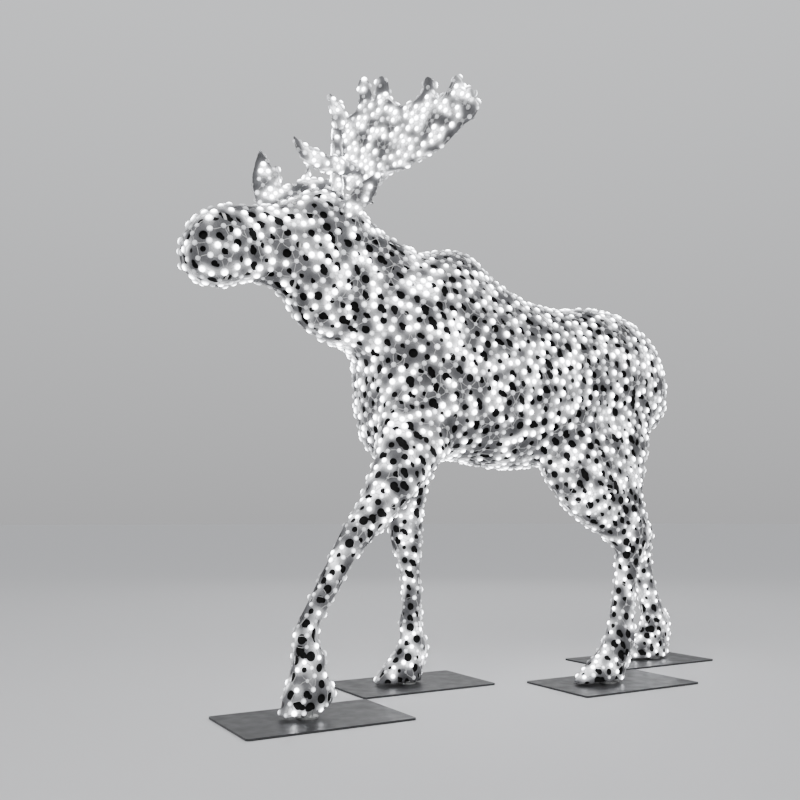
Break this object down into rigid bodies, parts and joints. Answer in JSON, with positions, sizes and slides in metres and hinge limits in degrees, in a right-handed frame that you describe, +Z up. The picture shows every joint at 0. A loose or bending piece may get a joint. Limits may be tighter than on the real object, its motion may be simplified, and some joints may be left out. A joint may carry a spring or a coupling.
{
  "type": "light up yard moose",
  "caption": "Life-size walking moose figure: welded tube frame inside light-net covers studded with LED lights, plug-in palmate antlers, a flat steel floor plate under each hoof.",
  "frame": {"origin": "on the floor, below the middle of the figure's bounding box", "axes": "+Z up; the moose faces -X, so its left side is towards -Y"},
  "size_m": [2.93, 1.3106, 2.6651],
  "materials": {
    "light_net": "white lamps closely set on a dark net",
    "white_coated_steel": "white powder coat",
    "dark_coated_steel": "satin dark grey powder coat",
    "zinc_plated_steel": "zinc plated",
    "grey_plastic": "fine grain",
    "black_plastic": "fine grain",
    "white_cable": "satin cable jacket"
  },
  "bodies": {
    "figure": {"antler_receptacle_left": "black_plastic", "antler_receptacle_right": "black_plastic", "antler_saddle": "white_coated_steel", "antler_socket_left": "white_coated_steel", "antler_socket_right": "white_coated_steel", "belly_hoop": "white_coated_steel", "cheek_hoop": "white_coated_steel", "chest_hoop": "white_coated_steel", "driver_box": "grey_plastic", "driver_box_lid": "grey_plastic", "driver_bracket": "zinc_plated_steel", "ear_left": "light_net", "ear_right": "light_net", "floor_plate_front_left": "dark_coated_steel", "floor_plate_front_right": "dark_coated_steel", "floor_plate_hind_left": "dark_coated_steel", "floor_plate_hind_right": "dark_coated_steel", "foot_socket_front_left": "zinc_plated_steel", "foot_socket_front_right": "zinc_plated_steel", "foot_socket_hind_left": "zinc_plated_steel", "foot_socket_hind_right": "zinc_plated_steel", "front_leg_lead": "white_cable", "haunch_crossbar": "white_coated_steel", "haunch_upright": "white_coated_steel", "head_lead": "white_cable", "head_light_net": "light_net", "head_rail": "white_coated_steel", "hind_leg_lead": "white_cable", "hip_hoop": "white_coated_steel", "led_driver": "zinc_plated_steel", "leg_light_net_front_left": "light_net", "leg_light_net_front_right": "light_net", "leg_light_net_hind_left": "light_net", "leg_light_net_hind_right": "light_net", "leg_post_front_left": "white_coated_steel", "leg_post_front_right": "white_coated_steel", "leg_post_hind_left": "white_coated_steel", "leg_post_hind_right": "white_coated_steel", "muzzle_hoop": "white_coated_steel", "neck_light_net": "light_net", "neck_tube": "white_coated_steel", "rump_hoop": "white_coated_steel", "set_screw_front_left": "zinc_plated_steel", "set_screw_front_right": "zinc_plated_steel", "set_screw_hind_left": "zinc_plated_steel", "set_screw_hind_right": "zinc_plated_steel", "shoulder_crossbar": "white_coated_steel", "shoulder_hoop": "white_coated_steel", "shoulder_upright": "white_coated_steel", "spine_tube": "white_coated_steel", "supply_gland": "black_plastic", "torso_light_net": "light_net"},
    "left_antler": {"antler_left": "light_net", "antler_spigot_left": "zinc_plated_steel", "antler_plug_left": "black_plastic"},
    "right_antler": {"antler_right": "light_net", "antler_spigot_right": "zinc_plated_steel", "antler_plug_right": "black_plastic"},
    "left_knob": {"antler_knob_left": "black_plastic"},
    "right_knob": {"antler_knob_right": "black_plastic"}
  },
  "joints": [
    {"name": "left_antler_pull", "type": "slide", "parent": "figure", "child": "left_antler", "axis": [0.3237, -0.6943, 0.6428], "range_m": [0, 0.12]},
    {"name": "right_antler_pull", "type": "slide", "parent": "figure", "child": "right_antler", "axis": [0.3237, 0.6943, 0.6428], "range_m": [0, 0.12]},
    {"name": "left_knob_turn", "type": "hinge", "parent": "figure", "child": "left_knob", "pos_m": [-0.72224, -0.12406, 2.09257], "axis": [0.5621, 0.6876, 0.4596], "range_deg": [0, 360]},
    {"name": "right_knob_turn", "type": "hinge", "parent": "figure", "child": "right_knob", "pos_m": [-0.72224, 0.12406, 2.09257], "axis": [0.5621, -0.6876, 0.4596], "range_deg": [0, 360]}
  ]
}
